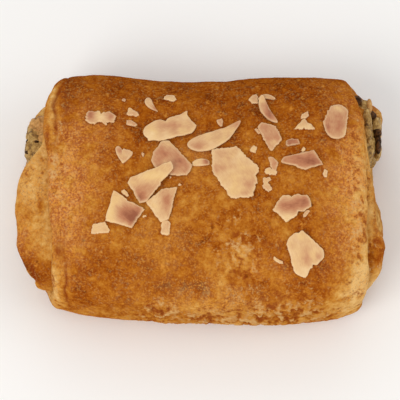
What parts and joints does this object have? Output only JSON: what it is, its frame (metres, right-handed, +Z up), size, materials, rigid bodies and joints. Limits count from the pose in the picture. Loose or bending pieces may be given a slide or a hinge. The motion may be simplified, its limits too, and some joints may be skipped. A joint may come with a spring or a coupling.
{
  "type": "stollen croissant",
  "caption": "Rolled laminated pastry with a browned glazed crust, an almond paste and raisin filling that shows at both ends, and flaked almonds on top.",
  "frame": {"origin": "middle of the base, on the surface that the pastry lies on", "axes": "+X along the roll to the end on the right of the picture, +Y to the back, +Z up"},
  "size_m": [0.1214, 0.0824, 0.0458],
  "materials": {
    "baked_crust": "egg-washed baked pastry",
    "almond_paste": "moist baked almond paste with raisins",
    "flaked_almond": "dry sliced almond"
  },
  "bodies": {
    "root": {"dough": "baked_crust", "filling": "almond_paste", "almond_slice_1": "flaked_almond", "almond_slice_2": "flaked_almond", "almond_slice_3": "flaked_almond", "almond_slice_4": "flaked_almond", "almond_slice_5": "flaked_almond", "almond_slice_6": "flaked_almond", "almond_slice_7": "flaked_almond", "almond_slice_8": "flaked_almond", "almond_slice_9": "flaked_almond", "almond_slice_10": "flaked_almond", "almond_slice_11": "flaked_almond", "almond_slice_12": "flaked_almond", "almond_slice_13": "flaked_almond", "almond_slice_14": "flaked_almond"}
  },
  "joints": []
}
